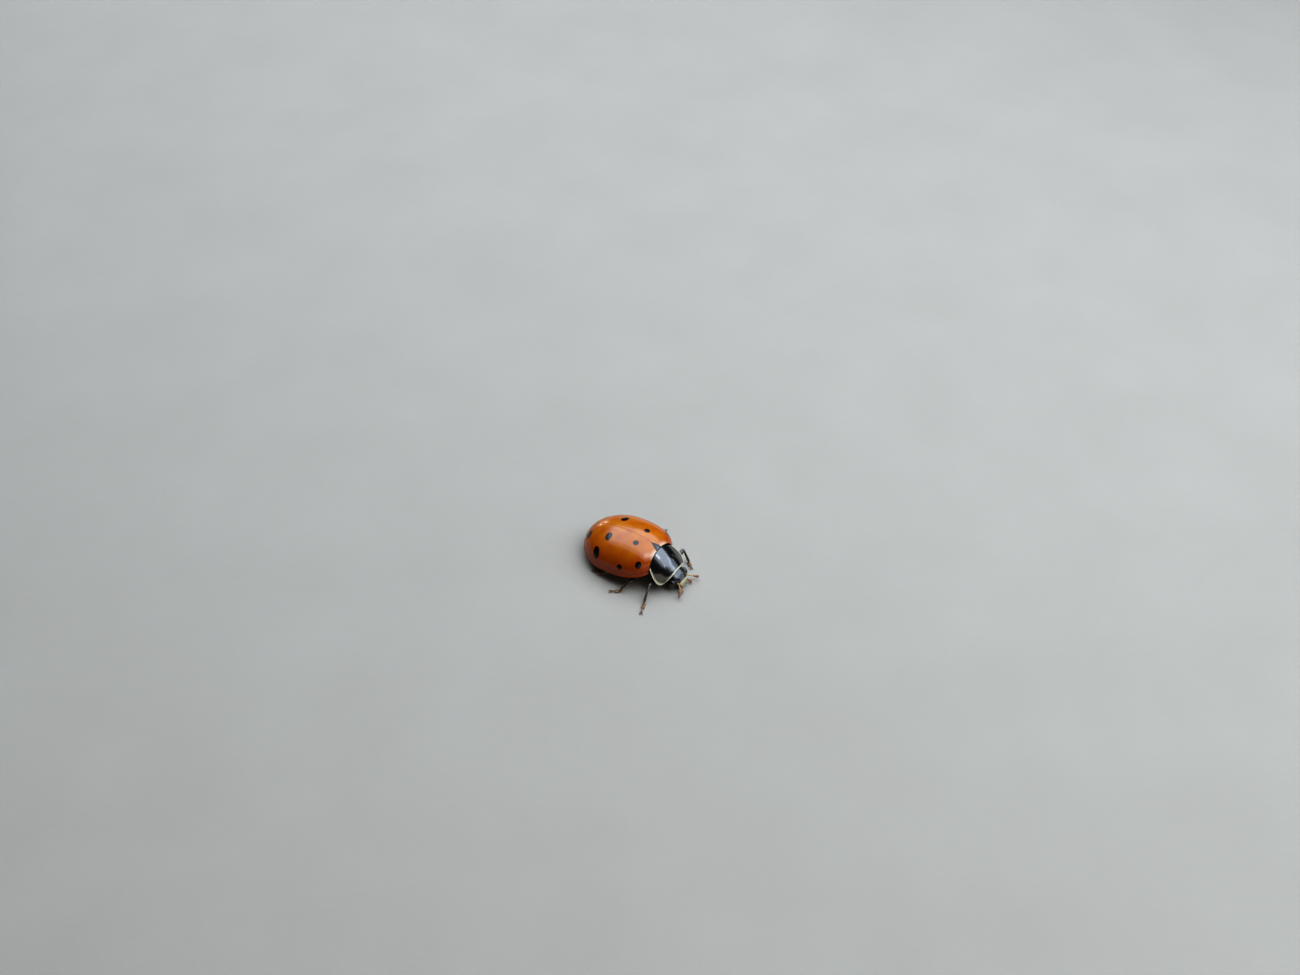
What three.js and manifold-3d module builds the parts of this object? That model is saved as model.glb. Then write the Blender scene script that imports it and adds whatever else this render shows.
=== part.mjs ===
// A life-size ladybird (convergent lady beetle), standing still in mid stride.
// Millimetres, +Z up, head towards -Y, the animal's left side towards +X.
// Points are first written as (across, forward, up): across is positive on the animal's left,
// forward is measured from the middle of the wing cases towards the head, up from the floor.

import * as THREE from 'three';
import { mergeVertices } from 'three/addons/utils/BufferGeometryUtils.js';
import Module from 'manifold-3d';

const wasm = await Module();
wasm.setup();

// ---- Driving dimensions ----

const CLEARANCE = 0.03; // gap kept between neighbouring pieces
const SHELL = 0.5; // thickness of the wing cases
const MARGIN_EDGE = 0.05; // height of the rolled edge along the wing cases
const SUTURE_GAP = 0.02; // gap between the two wing cases
const HOLLOW_DROP = 0.4; // how far the hollow under the wing cases runs on below their edge

// Both wing cases together: an oval dome on a rim that climbs towards the head.
const DOME = {
  halfWidth: 1.927,
  widestAt: -0.192,
  frontEnd: 2.25,
  rearEnd: -2.3,
  frontPower: 3.02,
  rearPower: 1.94,
  height: 1.416,
  crestAt: 0.321,
  crestFrontEnd: 2.497,
  crestFrontPower: 1.845,
  crestRearPower: 2.054,
  archPower: 2.09,
};
const RIM = { height: 0.62, slope: 0.126, curve: 0.033 };

// The line where the neck shield meets the wing cases, bowed backwards at the middle.
const HIND_LINE = { middle: 2.0, bow: 0.13, halfWidth: 1.05, reach: 1.6 };

// The belly: how high it hangs over the floor along the body, from tail to neck.
const BELLY = { low: 0.25, lowestAt: 0.0, tailRise: 0.045, neckRise: 0.036 };
const WAIST = 0.12; // station of the cut between thorax and abdomen
const TRUNK = { front: 2.12, tailGap: 0.05, neckFrom: 1, neckHalfWidth: 0.92, bellyPower: 2.4 };

// The head runs nose down from inside the neck shield to the front of its face.
// Each station is [share of its length, half width, half depth].
const HEAD = {
  neck: [0, 2.76, 0.71],
  nose: [0, 3.6, 0.33],
  stations: [
    [0, 0.28, 0.14], [0.06, 0.41, 0.23], [0.2, 0.53, 0.31], [0.42, 0.58, 0.36], [0.6, 0.56, 0.35],
    [0.74, 0.49, 0.3], [0.85, 0.4, 0.24], [0.94, 0.33, 0.17], [1, 0.28, 0.11],
  ],
  sides: 16,
  power: 2.3,
};
const EYE = { centre: [0.55, 3.22, 0.43], radii: [0.16, 0.22, 0.25], tilt: 20 };
const LABRUM = { centre: [0, 3.62, 0.29], radii: [0.3, 0.13, 0.11], tilt: 40 };
const MANDIBLE = { centre: [0.15, 3.51, 0.2], radii: [0.16, 0.15, 0.1], tilt: 30 };
const SCUTELLUM = { tip: 1.8, halfWidth: 0.16, depth: 0.32, runOn: 0.1 };
const SHIELD = { archPower: 2.1, archEase: 1, bowPower: 3.2, edgeDepth: 0.1, middleDepth: 0.4, inward: 0.3 };
const NECK = { halfWidth: [0.98, 0.8], halfDepth: [0.5, 0.34] }; // at its hind and front end
const HIP = { inward: 0.72, radii: [0.24, 0.2, 0.17] };

// Leg joints on the floor plan: hip, knee, ankle and toe, as (across, forward, up).
const LEGS = {
  front_right: [[-0.36, 2.42, 0.4], [-1.48, 2.42, 0.58], [-2.12, 2.61, 0.26], [-2.76, 2.86, 0.19]],
  front_left: [[0.36, 2.42, 0.4], [1.58, 2.54, 0.7], [1.52, 2.94, 0.27], [1.28, 3.24, 0.19]],
  middle_right: [[-0.62, 1.3, 0.36], [-1.78, 1.46, 0.5], [-2.2, 1.2, 0.26], [-2.5, 0.82, 0.19]],
  middle_left: [[0.62, 1.3, 0.36], [1.78, 1.22, 0.5], [2.24, 1.0, 0.26], [2.68, 0.74, 0.19]],
  rear_right: [[-0.5, -0.02, 0.3], [-1.36, 0.3, 0.36], [-1.82, -0.2, 0.25], [-1.9, -0.7, 0.19]],
  rear_left: [[0.5, -0.02, 0.3], [1.42, -0.24, 0.31], [1.94, -0.76, 0.25], [2.14, -1.26, 0.19]],
};
// Radii along each stretch of leg, from its upper to its lower joint.
const THIGH = [0.19, 0.25, 0.24];
const SHIN = [0.22, 0.21];
const FOOT = [0.2, 0.2];
const LEG_SIDES = 8;

// How finely the round shapes are divided.
const DETAIL = {
  caseRings: 26,
  caseColumns: 23,
  hollowRings: 11,
  hollowColumns: 12,
  trunkRings: 14,
  trunkSides: 18,
  neckRings: 6,
  neckSides: 14,
  shieldRows: 9,
  shieldColumns: 16,
  hindLine: 16,
  eye: 12,
  labrum: 10,
  mandible: 8,
  hip: 8,
};

const FINISH = {
  wingCase: { color: '#d2600f', roughness: 0.3, metalness: 0 },
  shield: { color: '#0d0d10', roughness: 0.25, metalness: 0 },
  black: { color: '#121214', roughness: 0.4, metalness: 0 },
  belly: { color: '#17130f', roughness: 0.45, metalness: 0 },
  eye: { color: '#08080a', roughness: 0.2, metalness: 0 },
  horn: { color: '#a8793c', roughness: 0.45, metalness: 0 },
  ivory: { color: '#cfc49b', roughness: 0.4, metalness: 0 },
  foot: { color: '#3a3126', roughness: 0.5, metalness: 0 },
};

// ---- Small tools ----

const lerp = THREE.MathUtils.lerp;
const point = (across, forward, up) => new THREE.Vector3(across, -forward, up);
const curveThrough = (places) => new THREE.CatmullRomCurve3(places.map((p) => point(...p)));
const steps = (count) => Array.from({ length: count + 1 }, (_, i) => i / count);
const easedSteps = (count) => steps(count).map((t) => (1 - Math.cos(Math.PI * t)) / 2);
const clampShare = (t) => Math.min(1, Math.max(0, t));

// Height of a rounded arch over its half span: 1 at the middle, 0 at the end.
function arch(t, power) {
  return Math.pow(Math.max(0, 1 - Math.pow(Math.min(1, Math.abs(t)), power)), 1 / power);
}

// A closed body from its points and triangles, faces pointing out.
function solidFrom(points, faces) {
  const loose = new THREE.BufferGeometry();
  const coordinates = points.flatMap((p) => p.toArray());
  loose.setAttribute('position', new THREE.Float32BufferAttribute(coordinates, 3));
  loose.setIndex(faces.flat());
  const merged = mergeVertices(loose, 1e-5);
  const place = merged.attributes.position.array;
  const index = merged.index.array;
  const kept = [];
  let volume = 0;
  for (let i = 0; i < index.length; i += 3) {
    const corner = [index[i], index[i + 1], index[i + 2]];
    if (new Set(corner).size < 3) continue;
    kept.push(corner);
    const [a, b, c] = corner.map((n) => new THREE.Vector3().fromArray(place, 3 * n));
    volume += a.dot(b.cross(c));
  }
  const outward = volume > 0 ? kept : kept.map(([a, b, c]) => [a, c, b]);
  return new wasm.Manifold(new wasm.Mesh({
    numProp: 3,
    vertProperties: new Float32Array(place),
    triVerts: new Uint32Array(outward.flat()),
  }));
}

// A body through rings of points, closed with a fan at each end.
function loft(rings) {
  const around = rings[0].length;
  const points = rings.flat();
  const faces = [];
  for (let r = 0; r + 1 < rings.length; r++) {
    for (let k = 0; k < around; k++) {
      const a = r * around + k;
      const b = r * around + ((k + 1) % around);
      faces.push([a, b, b + around], [a, b + around, a + around]);
    }
  }
  const ends = [[rings[0], 0, true], [rings.at(-1), points.length - around, false]];
  for (const [ring, start, turned] of ends) {
    const middle = ring.reduce((sum, p) => sum.add(p), new THREE.Vector3()).divideScalar(around);
    const hub = points.push(middle) - 1;
    for (let k = 0; k < around; k++) {
      const a = start + k;
      const b = start + ((k + 1) % around);
      faces.push(turned ? [hub, b, a] : [hub, a, b]);
    }
  }
  return solidFrom(points, faces);
}

// A plate between an upper and a lower sheet, both functions of u and v from 0 to 1.
function plate(rows, columns, upper, lower) {
  const sheet = (at) => steps(rows).flatMap((u) => steps(columns).map((v) => at(u, v)));
  const points = [...sheet(upper), ...sheet(lower)];
  const across = columns + 1;
  const below = across * (rows + 1);
  const faces = [];
  for (let r = 0; r < rows; r++) {
    for (let c = 0; c < columns; c++) {
      const a = r * across + c;
      const d = a + across;
      faces.push([a, a + 1, d + 1], [a, d + 1, d]);
      faces.push([below + a, below + d + 1, below + a + 1], [below + a, below + d, below + d + 1]);
    }
  }
  const wall = (a, b) => faces.push([a, below + b, b], [a, below + a, below + b]);
  for (let c = 0; c < columns; c++) {
    wall(c, c + 1);
    wall(rows * across + c + 1, rows * across + c);
  }
  for (let r = 0; r < rows; r++) {
    wall((r + 1) * across, r * across);
    wall(r * across + columns, (r + 1) * across + columns);
  }
  return solidFrom(points, faces);
}

// A box between two corners given as (across, forward, up).
function block(from, to) {
  const box = new THREE.Box3().setFromPoints([point(...from), point(...to)]);
  const size = box.getSize(new THREE.Vector3());
  const middle = box.getCenter(new THREE.Vector3());
  const geometry = new THREE.BoxGeometry(size.x, size.y, size.z).translate(middle.x, middle.y, middle.z);
  return solidOfGeometry(geometry);
}

function solidOfGeometry(geometry) {
  const place = geometry.attributes.position;
  const points = Array.from(
    { length: place.count },
    (_, i) => new THREE.Vector3().fromBufferAttribute(place, i),
  );
  const index = geometry.index ? Array.from(geometry.index.array) : points.map((_, i) => i);
  const faces = Array.from({ length: index.length / 3 }, (_, i) => index.slice(3 * i, 3 * i + 3));
  return solidFrom(points, faces);
}

// An egg-shaped body, tilted nose down by a number of degrees.
function egg(shape, side, grow, detail) {
  const [across, forward, up] = shape.centre;
  const geometry = new THREE.SphereGeometry(1, detail, Math.round(detail * 0.6));
  geometry.scale(...shape.radii.map((r) => r + grow));
  geometry.rotateX(THREE.MathUtils.degToRad(shape.tilt));
  const middle = point(side * across, forward, up);
  geometry.translate(middle.x, middle.y, middle.z);
  return solidOfGeometry(geometry);
}

// A round feeler along a smooth path; each stop is [share of the path, radius].
function feeler(path, stops) {
  return loft(stops.map(([share, radius]) => {
    const along = path.getTangentAt(share);
    const side = new THREE.Vector3(1, 0, 0).projectOnPlane(along).setLength(radius);
    const rise = along.clone().cross(side);
    return ringAround(path.getPointAt(share), side, rise, LEG_SIDES);
  }));
}

function ringAround(centre, side, rise, sides) {
  return Array.from({ length: sides }, (_, k) => {
    const angle = (2 * Math.PI * (k + 0.5)) / sides;
    return centre.clone().addScaledVector(side, Math.cos(angle)).addScaledVector(rise, Math.sin(angle));
  });
}

const without = (solid, others) => others.reduce((rest, other) => rest.subtract(other), solid);
const pieces = new THREE.Group();

function addPiece(name, solid, finish) {
  const mesh = solid.getMesh();
  const geometry = new THREE.BufferGeometry();
  geometry.setAttribute('position', new THREE.Float32BufferAttribute(mesh.vertProperties, 3));
  geometry.setIndex(Array.from(mesh.triVerts));
  geometry.computeVertexNormals();
  const piece = new THREE.Mesh(geometry, new THREE.MeshStandardMaterial(finish));
  piece.name = name;
  pieces.add(piece);
}

// ---- Wing cases ----

function rimHeight(s) {
  return RIM.height + RIM.slope * s + RIM.curve * s * s;
}

// Half width and height above the rim of the dome, or of a smaller dome set in by some millimetres.
function domeHalfWidth(s, inset) {
  const [front, rear] = [DOME.frontEnd - DOME.widestAt, DOME.widestAt - DOME.rearEnd];
  const run = (s > DOME.widestAt ? front : rear) - inset;
  const power = s > DOME.widestAt ? DOME.frontPower : DOME.rearPower;
  return (DOME.halfWidth - inset) * arch((s - DOME.widestAt) / run, power);
}

function domeRise(s, inset) {
  const [front, rear] = [DOME.crestFrontEnd - DOME.crestAt, DOME.crestAt - DOME.rearEnd];
  const run = (s > DOME.crestAt ? front : rear) - inset;
  const power = s > DOME.crestAt ? DOME.crestFrontPower : DOME.crestRearPower;
  return (DOME.height - inset) * arch((s - DOME.crestAt) / run, power);
}

// The whole dome with its floor some way below the rim.
function dome(inset, floorDrop, rows, columns) {
  const front = DOME.frontEnd - inset - 0.04;
  const rear = DOME.rearEnd + inset + 0.004;
  const rings = easedSteps(rows).map((t) => {
    const s = lerp(rear, front, t);
    const halfWidth = domeHalfWidth(s, inset);
    const roof = steps(columns).map((k) => {
      const x = Math.cos(Math.PI * k);
      return point(halfWidth * x, s, rimHeight(s) + domeRise(s, inset) * arch(x, DOME.archPower));
    });
    const floor = steps(4).map((k) => point(halfWidth * (2 * k - 1), s, rimHeight(s) - floorDrop));
    return [...roof, ...floor];
  });
  return loft(rings);
}

// Everything ahead of the line where the neck shield starts, moved back by some millimetres.
function aheadOfHindLine(back) {
  const shape = new THREE.Shape();
  const { reach } = HIND_LINE;
  shape.moveTo(reach, -4);
  shape.lineTo(-reach, -4);
  for (const t of steps(DETAIL.hindLine)) {
    const x = lerp(-reach, reach, t);
    shape.lineTo(x, -(hindLine(x) - back));
  }
  shape.closePath();
  const tall = new THREE.ExtrudeGeometry(shape, { depth: 5, bevelEnabled: false });
  return solidOfGeometry(tall.translate(0, 0, -1));
}

function hindLine(x) {
  return HIND_LINE.middle + HIND_LINE.bow * Math.pow(x / HIND_LINE.halfWidth, 2);
}

// The small triangle between the wing cases, cut from the dome itself.
function scutellumWedge(grow) {
  const shape = new THREE.Shape();
  const [wide, ahead] = [SCUTELLUM.halfWidth + grow, HIND_LINE.middle + SCUTELLUM.runOn];
  shape.moveTo(0, -(SCUTELLUM.tip - 1.6 * grow));
  shape.lineTo(wide, -ahead);
  shape.lineTo(-wide, -ahead);
  shape.closePath();
  const top = rimHeight(HIND_LINE.middle) + domeRise(HIND_LINE.middle, 0);
  const wedge = new THREE.ExtrudeGeometry(shape, { depth: 1, bevelEnabled: false });
  return solidOfGeometry(wedge.translate(0, 0, top - SCUTELLUM.depth - grow));
}

const outerDome = () => dome(0, MARGIN_EDGE, DETAIL.caseRings, DETAIL.caseColumns);

function wingCases() {
  const shell = without(outerDome(), [
    dome(SHELL, HOLLOW_DROP, DETAIL.hollowRings, DETAIL.hollowColumns),
    aheadOfHindLine(CLEARANCE),
    scutellumWedge(CLEARANCE),
    block([-SUTURE_GAP / 2, -4, -1], [SUTURE_GAP / 2, 4, 4]),
  ]);
  addPiece('elytron_left', shell.intersect(block([0, -4, -1], [4, 4, 4])), FINISH.wingCase);
  addPiece('elytron_right', shell.intersect(block([-4, -4, -1], [0, 4, 4])), FINISH.wingCase);
}

function scutellum() {
  const cap = outerDome().intersect(scutellumWedge(0));
  addPiece('scutellum', without(cap, [aheadOfHindLine(CLEARANCE)]), FINISH.black);
}

// ---- Neck shield ----

const shieldEdge = curveThrough([
  [1.04, 2.16, 1.28], [1.14, 2.34, 1.09], [1.195, 2.53, 0.87], [1.17, 2.72, 0.67], [1.07, 2.87, 0.59],
  [0.89, 2.96, 0.6],
]);
const shieldCrest = curveThrough([
  [0, 2.0, 1.8], [0, 2.3, 1.66], [0, 2.66, 1.42], [0, 2.98, 1.14], [0, 3.17, 0.97],
]);

// A place on the shield: u runs from back to front, v from the right edge to the left edge.
function shieldPoint(u, v, sink) {
  const edge = shieldEdge.getPoint(u);
  const crest = shieldCrest.getPoint(u);
  const turn = (v - 0.5) * Math.PI;
  const side = Math.sin(turn);
  const lift = Math.pow(Math.max(0, 1 - Math.pow(Math.abs(side), SHIELD.archPower)), SHIELD.archEase);
  const bow = Math.pow(Math.abs(side), SHIELD.bowPower);
  return new THREE.Vector3(
    side * (edge.x - sink * SHIELD.inward),
    lerp(crest.y, edge.y, bow),
    lerp(edge.z, crest.z, lift) - sink,
  );
}

function shield(grow) {
  const stretch = (u) => lerp(-grow, 1 + grow, u);
  const upper = (u, v) => shieldPoint(clampShare(stretch(u)), v, -grow);
  const lower = (u, v) => {
    const lift = Math.cos((v - 0.5) * Math.PI);
    const depth = lerp(SHIELD.edgeDepth, SHIELD.middleDepth, lift);
    return shieldPoint(clampShare(stretch(u)), v, depth + grow);
  };
  return plate(DETAIL.shieldRows, DETAIL.shieldColumns, upper, lower);
}

// ---- Body under the wing cases ----

function bellyHeight(s) {
  const off = s - BELLY.lowestAt;
  return BELLY.low + off * off * (off < 0 ? BELLY.tailRise : BELLY.neckRise);
}

// Thorax and abdomen in one: its back fills the hollow of the wing cases, its underside is the belly.
function trunk() {
  const rear = DOME.rearEnd + SHELL + TRUNK.tailGap;
  const inset = SHELL + CLEARANCE;
  const rings = easedSteps(DETAIL.trunkRings).map((t) => {
    const s = lerp(rear, TRUNK.front, t);
    const hollowHalf = domeHalfWidth(s, inset);
    const halfWidth = Math.max(hollowHalf, s > TRUNK.neckFrom ? TRUNK.neckHalfWidth : 0);
    const base = rimHeight(s) - CLEARANCE - MARGIN_EDGE;
    const keel = base - bellyHeight(s);
    const roof = hollowHalf > 0.9 * halfWidth ? domeRise(s, inset) + MARGIN_EDGE : 0;
    return Array.from({ length: DETAIL.trunkSides }, (_, k) => {
      const angle = (2 * Math.PI * (k + 0.5)) / DETAIL.trunkSides;
      const x = Math.cos(angle);
      const above = base + roof * arch(x, DOME.archPower);
      const below = base - keel * arch(x, TRUNK.bellyPower);
      return point(halfWidth * x, s, Math.sin(angle) > 0 ? above : below);
    });
  });
  return loft(rings);
}

function neckBlock() {
  const path = curveThrough([[0, 2.16, 0.86], [0, 2.55, 0.8], [0, 3.02, 0.68]]);
  const rings = steps(DETAIL.neckRings).map((t) => {
    const side = new THREE.Vector3(lerp(...NECK.halfWidth, t), 0, 0);
    const rise = new THREE.Vector3(0, 0, lerp(...NECK.halfDepth, t));
    return ringAround(path.getPoint(t), side, rise, DETAIL.neckSides);
  });
  return loft(rings);
}

// The rounded joint in the body that carries a leg.
function hipBump([across, forward, up]) {
  const shape = { centre: [Math.abs(across) * HIP.inward, forward, up], radii: HIP.radii, tilt: 0 };
  return egg(shape, Math.sign(across), 0, DETAIL.hip);
}

// ---- Legs ----

// One stretch of leg from joint to joint with rounded ends; radii run from start to end.
function segment(joints, first, radii, grow) {
  const [start, end] = [joints[first], joints[first + 1]].map((joint) => point(...joint));
  const along = end.clone().sub(start);
  const length = along.length();
  along.normalize();
  const side = new THREE.Vector3(0, 0, 1).cross(along).normalize();
  const rise = along.clone().cross(side);
  const [near, far] = [radii[0] + grow, radii.at(-1) + grow];
  const stops = [
    [-0.8 * near, 0.6 * near],
    ...radii.map((radius, k) => [(k / (radii.length - 1)) * length, radius + grow]),
    [length + 0.55 * far, 0.84 * far],
    [length + 0.92 * far, 0.4 * far],
  ];
  return loft(stops.map(([distance, radius]) => {
    const centre = start.clone().addScaledVector(along, distance);
    const [wide, high] = [side.clone().multiplyScalar(radius), rise.clone().multiplyScalar(radius)];
    return ringAround(centre, wide, high, LEG_SIDES);
  }));
}

function legs(bodyRoom) {
  const underFloor = block([-5, -5, -2], [5, 5, 0]);
  for (const [name, joints] of Object.entries(LEGS)) {
    const thigh = without(segment(joints, 0, THIGH, 0), bodyRoom);
    const shin = segment(joints, 1, SHIN, 0).subtract(segment(joints, 0, THIGH, CLEARANCE));
    const foot = segment(joints, 2, FOOT, 0).subtract(segment(joints, 1, SHIN, CLEARANCE));
    addPiece(`femur_${name}`, thigh, FINISH.black);
    addPiece(`tibia_${name}`, shin, FINISH.black);
    addPiece(`tarsus_${name}`, foot.subtract(underFloor), FINISH.foot);
  }
}

// ---- Head ----

// Feelers and their radii; each stop is [share of the path, radius].
const antennaPath = (side) => curveThrough([
  [side * 0.37, 3.36, 0.53], [side * 0.45, 3.62, 0.49], [side * 0.64, 3.78, 0.36], [side * 0.86, 3.86, 0.22],
]);
const palpPath = (side) => curveThrough([
  [side * 0.18, 3.36, 0.3], [side * 0.3, 3.57, 0.24], [side * 0.42, 3.74, 0.23],
]);
const ANTENNA = [[0, 0.16], [0.08, 0.21], [0.55, 0.2], [0.72, 0.21], [0.84, 0.23], [0.95, 0.19], [1, 0.1]];
const PALP = [[0, 0.15], [0.1, 0.18], [0.6, 0.19], [0.85, 0.22], [0.96, 0.19], [1, 0.1]];

// The head capsule, grown outwards by some millimetres.
function headCapsule(grow) {
  const [neck, nose] = [point(...HEAD.neck), point(...HEAD.nose)];
  const along = nose.clone().sub(neck);
  const length = along.length();
  along.normalize();
  const up = new THREE.Vector3(1, 0, 0).cross(along).negate();
  const rings = HEAD.stations.map(([share, halfWidth, halfDepth]) => {
    const centre = neck.clone().addScaledVector(along, share * length + (share - 0.5) * 2 * grow);
    return steps(HEAD.sides - 1).map((_, k) => {
      const angle = (2 * Math.PI * (k + 0.5)) / HEAD.sides;
      const [x, z] = [Math.cos(angle), Math.sin(angle)];
      const square = Math.pow(Math.abs(x) ** HEAD.power + Math.abs(z) ** HEAD.power, -1 / HEAD.power);
      return centre.clone()
        .add(new THREE.Vector3((halfWidth + grow) * x * square, 0, 0))
        .addScaledVector(up, (halfDepth + grow) * z * square);
    });
  });
  return loft(rings);
}

const SIDES = { left: 1, right: -1 };
const bothSides = Object.values(SIDES);

function headParts() {
  const headRoom = headCapsule(CLEARANCE);
  const eyeRoom = bothSides.map((side) => egg(EYE, side, CLEARANCE, DETAIL.eye));
  const labrumRoom = egg(LABRUM, 1, CLEARANCE, DETAIL.labrum);
  addPiece('head', without(headCapsule(0), eyeRoom), FINISH.black);
  addPiece('labrum', egg(LABRUM, 1, 0, DETAIL.labrum).subtract(headRoom), FINISH.ivory);
  for (const [name, side] of Object.entries(SIDES)) {
    const palp = feeler(palpPath(side), PALP);
    const antenna = feeler(antennaPath(side), ANTENNA);
    const mandible = egg(MANDIBLE, side, 0, DETAIL.mandible);
    const mandibleRoom = egg(MANDIBLE, side, CLEARANCE, DETAIL.mandible);
    addPiece(`eye_${name}`, egg(EYE, side, 0, DETAIL.eye), FINISH.eye);
    addPiece(`antenna_${name}`, without(antenna, [headRoom, ...eyeRoom]), FINISH.horn);
    addPiece(`palp_${name}`, without(palp, [headRoom, labrumRoom, mandibleRoom]), FINISH.horn);
    addPiece(`mandible_${name}`, without(mandible, [headRoom, labrumRoom]), FINISH.horn);
  }
  return [headRoom, ...eyeRoom];
}

// The shield, the plates under it and the trunk, with room left for the head and the thighs.
function body(headRoom) {
  const shieldRoom = shield(CLEARANCE);
  const thighRoom = Object.values(LEGS).map((joints) => segment(joints, 0, THIGH, CLEARANCE));
  const withHips = (solid, chosen) => Object.entries(LEGS)
    .filter(([name]) => chosen(name))
    .reduce((sum, [, joints]) => sum.add(hipBump(joints[0])), solid);
  const isFront = (name) => name.startsWith('front');
  addPiece('pronotum', without(shield(0), headRoom), FINISH.shield);
  const neck = without(withHips(neckBlock(), isFront), [...headRoom, shieldRoom, ...thighRoom]);
  addPiece('prosternum', neck, FINISH.belly);
  const whole = without(withHips(trunk(), (name) => !isFront(name)), thighRoom);
  addPiece('thorax', whole.subtract(block([-4, WAIST, -1], [4, -4, 4])), FINISH.belly);
  addPiece('abdomen', whole.subtract(block([-4, WAIST - CLEARANCE, -1], [4, 4, 4])), FINISH.belly);
  return [shieldRoom];
}

wingCases();
scutellum();
legs(body(headParts()));

// The origin is the middle of the footprint, on the floor.
const footprint = new THREE.Box3().setFromObject(pieces);
const middle = footprint.getCenter(new THREE.Vector3());
pieces.position.set(-middle.x, -middle.y, -footprint.min.z);

export default pieces;
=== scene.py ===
import math
import random

import bmesh
import bpy
import numpy as np
from mathutils import Matrix, Vector, kdtree


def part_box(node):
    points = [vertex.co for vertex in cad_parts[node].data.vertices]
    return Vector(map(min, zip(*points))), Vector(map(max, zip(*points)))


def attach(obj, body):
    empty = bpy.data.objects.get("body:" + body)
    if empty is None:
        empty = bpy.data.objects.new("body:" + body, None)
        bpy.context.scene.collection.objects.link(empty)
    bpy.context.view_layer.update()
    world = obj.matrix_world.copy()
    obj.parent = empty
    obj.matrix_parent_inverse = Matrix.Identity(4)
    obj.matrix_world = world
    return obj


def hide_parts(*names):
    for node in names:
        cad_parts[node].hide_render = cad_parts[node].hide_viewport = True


# A convergent lady beetle, life size. Shapes are worked out in millimetres as
# (across, -forward, up): across is positive on the animal's left, forward is measured from
# the middle of the wing cases towards the head, and up from the floor.

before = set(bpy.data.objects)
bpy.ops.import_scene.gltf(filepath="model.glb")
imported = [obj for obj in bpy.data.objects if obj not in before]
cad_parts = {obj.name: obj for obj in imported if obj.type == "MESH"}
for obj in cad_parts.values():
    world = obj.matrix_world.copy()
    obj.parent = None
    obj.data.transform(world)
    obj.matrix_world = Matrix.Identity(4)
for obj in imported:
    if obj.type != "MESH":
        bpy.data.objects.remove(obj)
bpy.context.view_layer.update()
random.seed(7)
chance = np.random.default_rng(7)

MM = 0.001
REAR_TIP = -2.296  # forward place of the tail end of the wing cases
LEFT_CASE, RIGHT_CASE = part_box("elytron_left"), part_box("elytron_right")
ANCHOR = Vector((
    (LEFT_CASE[0].x + RIGHT_CASE[1].x) / 2,
    LEFT_CASE[1].y + REAR_TIP * MM,
    0,
))
SIDES = {"left": 1, "right": -1}
UP = np.array([0, 0, 1.0])
LEVEL = np.array([1, 1, 0])  # keeps the level part of a direction

# ---- Sizes shared with the solids ----

SUTURE_GAP = 0.002
CASE_GAP = 0.03
CASE_SKIN = 0.05  # thickness of a wing case where its edge shows
# Outlines of the two wing cases together, from above and from the side: the greatest half width
# or height, where it is, the front and rear ends, and how square the front and rear are.
CASE_REAR = -2.3
DOME_WIDTH = (1.927, -0.192, 2.25, CASE_REAR, 3.02, 1.94)
DOME_RISE = (1.416, 0.321, 2.497, CASE_REAR, 1.845, 2.054)
DOME_ARCH = 2.09
BELLY = dict(low=0.25, tail_rise=0.045, neck_rise=0.036)
HEAD_NECK, HEAD_NOSE = (0, 2.76, 0.71), (0, 3.6, 0.33)
HEAD_STATIONS = [
    (0, 0.28, 0.14), (0.06, 0.41, 0.23), (0.2, 0.53, 0.31), (0.42, 0.58, 0.36), (0.6, 0.56, 0.35),
    (0.74, 0.49, 0.3), (0.85, 0.4, 0.24), (0.94, 0.33, 0.17), (1, 0.28, 0.11),
]
EYE = dict(centre=(0.55, 3.22, 0.43), radii=(0.16, 0.22, 0.25), tilt=20)
SHIELD_EDGE = [(1.04, 2.16, 1.28), (1.14, 2.34, 1.09), (1.195, 2.53, 0.87), (1.17, 2.72, 0.67),
               (1.07, 2.87, 0.59), (0.89, 2.96, 0.6)]
SHIELD_CREST = [(0, 2.0, 1.8), (0, 2.3, 1.66), (0, 2.66, 1.42), (0, 2.98, 1.14), (0, 3.17, 0.97)]
LEGS = {
    "front_right": [(-0.36, 2.42, 0.4), (-1.48, 2.42, 0.58), (-2.12, 2.61, 0.26), (-2.76, 2.86, 0.19)],
    "front_left": [(0.36, 2.42, 0.4), (1.58, 2.54, 0.7), (1.52, 2.94, 0.27), (1.28, 3.24, 0.19)],
    "middle_right": [(-0.62, 1.3, 0.36), (-1.78, 1.46, 0.5), (-2.2, 1.2, 0.26), (-2.5, 0.82, 0.19)],
    "middle_left": [(0.62, 1.3, 0.36), (1.78, 1.22, 0.5), (2.24, 1.0, 0.26), (2.68, 0.74, 0.19)],
    "rear_right": [(-0.5, -0.02, 0.3), (-1.36, 0.3, 0.36), (-1.82, -0.2, 0.25), (-1.9, -0.7, 0.19)],
    "rear_left": [(0.5, -0.02, 0.3), (1.42, -0.24, 0.31), (1.94, -0.76, 0.25), (2.14, -1.26, 0.19)],
}

# ---- Working shapes out ----


def mm(across, forward, up):
    """A place, or arrays of places, in millimetres."""
    return np.stack(np.broadcast_arrays(across, -np.asarray(forward, float), up), -1).astype(float)


def on_side(place, side):
    """A place that is given for the left side, on one of the two sides."""
    return mm(side * place[0], *place[1:])


def unit(v):
    return v / np.maximum(np.linalg.norm(v, axis=-1, keepdims=True), 1e-9)


def arch(t, power):
    """Height of a rounded arch over its half span: 1 at the middle, 0 at the end."""
    return np.maximum(0, 1 - np.minimum(1, np.abs(t)) ** power) ** (1 / power)


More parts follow.
